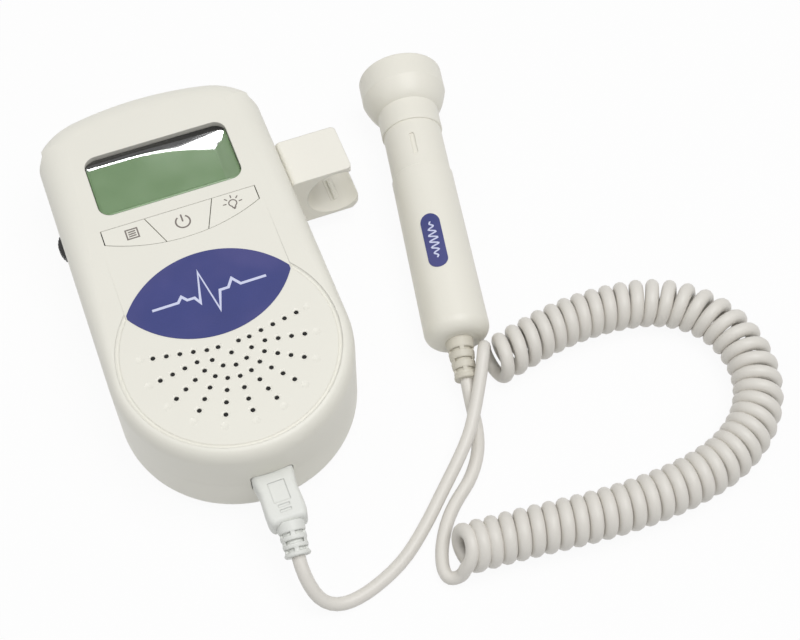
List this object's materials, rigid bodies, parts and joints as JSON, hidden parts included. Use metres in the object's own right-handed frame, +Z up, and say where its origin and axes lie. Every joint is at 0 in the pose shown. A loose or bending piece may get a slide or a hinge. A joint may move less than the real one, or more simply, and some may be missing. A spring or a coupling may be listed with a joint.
{
  "type": "fetal doppler monitor",
  "caption": "Handheld ultrasound heartbeat monitor with display, soft keys, loudspeaker and side clip, and a flared hand probe on a curly cord.",
  "frame": {"origin": "on the plane the unit lies on, straight under the centre of the loudspeaker", "axes": "+Y from the loudspeaker towards the display end, +X towards the side with the probe clip, +Z up out of the face"},
  "size_m": [0.1958, 0.1851, 0.0351],
  "materials": {
    "case_plastic": "fine satin texture, warm off-white",
    "key_plastic": "satin, warm off-white",
    "clip_plastic": "satin, creamy white",
    "probe_plastic": "semi-gloss, off-white",
    "plug_plastic": "satin, cool white",
    "relief_rubber": "satin, beige cream",
    "cord_jacket": "satin, warm grey-white",
    "lens": "glossy clear plastic with a soft pillowed edge",
    "label_film": "printed film, blue-violet",
    "speaker_cloth": "thin black cloth",
    "paper_cone": "coated paper, black",
    "magnet": "dark ferrite with a plated cover",
    "steel": "plated sheet steel",
    "circuit_board": "green solder mask on glass-fibre board",
    "black_plastic": "satin black",
    "lcd": "grey-green reflective display glass",
    "light_guide": "frosted white light guide",
    "cell_jacket": "plain printed sleeve, dark grey",
    "acoustic_rubber": "smooth grey silicone",
    "seal_rubber": "black O-ring",
    "crystal": "silvered ceramic half discs",
    "backing_resin": "dark filled resin"
  },
  "bodies": {
    "unit": {"front_shell": "case_plastic", "rear_shell": "case_plastic", "display_lens": "lens", "face_label": "label_film", "speaker_cloth": "speaker_cloth", "speaker_frame": "steel", "speaker_cone": "paper_cone", "speaker_magnet": "magnet", "main_board": "circuit_board", "key_switches": "black_plastic", "board_chips": "black_plastic", "lcd_glass": "lcd", "lcd_frame": "black_plastic", "backlight": "light_guide", "headphone_jack": "black_plastic", "volume_pot": "black_plastic", "aa_batteries": "cell_jacket", "battery_contacts": "steel", "case_screws": "steel", "board_screws": "steel", "probe_clip": "clip_plastic", "probe_socket": "steel", "socket_board": "circuit_board", "plug_overmould": "plug_plastic", "plug_shell": "steel", "plug_strain_relief": "plug_plastic", "probe_face": "acoustic_rubber", "probe_head": "probe_plastic", "probe_collar": "probe_plastic", "probe_seal": "seal_rubber", "probe_handle": "probe_plastic", "probe_label": "label_film", "probe_crystals": "crystal", "probe_backing": "backing_resin", "probe_board": "circuit_board", "probe_strain_relief": "relief_rubber", "cord_tail_unit": "cord_jacket", "cord_tail_probe": "cord_jacket", "curly_cord": "cord_jacket"},
    "menu_key": {"menu_button": "key_plastic"},
    "power_key": {"power_button": "key_plastic"},
    "light_key": {"light_button": "key_plastic"},
    "wheel": {"volume_wheel": "black_plastic"},
    "door": {"battery_door": "case_plastic"}
  },
  "joints": [
    {"name": "menu_press", "type": "slide", "parent": "unit", "child": "menu_key", "axis": [0, 0, -1], "range_m": [0, 0.0005], "stiffness_N_per_m": 3000, "springref_m": -0.0001},
    {"name": "power_press", "type": "slide", "parent": "unit", "child": "power_key", "axis": [0, 0, -1], "range_m": [0, 0.0005], "stiffness_N_per_m": 3000, "springref_m": -0.0001},
    {"name": "light_press", "type": "slide", "parent": "unit", "child": "light_key", "axis": [0, 0, -1], "range_m": [0, 0.0005], "stiffness_N_per_m": 3000, "springref_m": -0.0001},
    {"name": "volume_turn", "type": "hinge", "parent": "unit", "child": "wheel", "pos_m": [-0.0303, 0.0582, 0.022], "axis": [0, 0, 1], "range_deg": [-150, 150]},
    {"name": "door_slide", "type": "slide", "parent": "unit", "child": "door", "axis": [0, -1, 0], "range_m": [0, 0.012]}
  ]
}
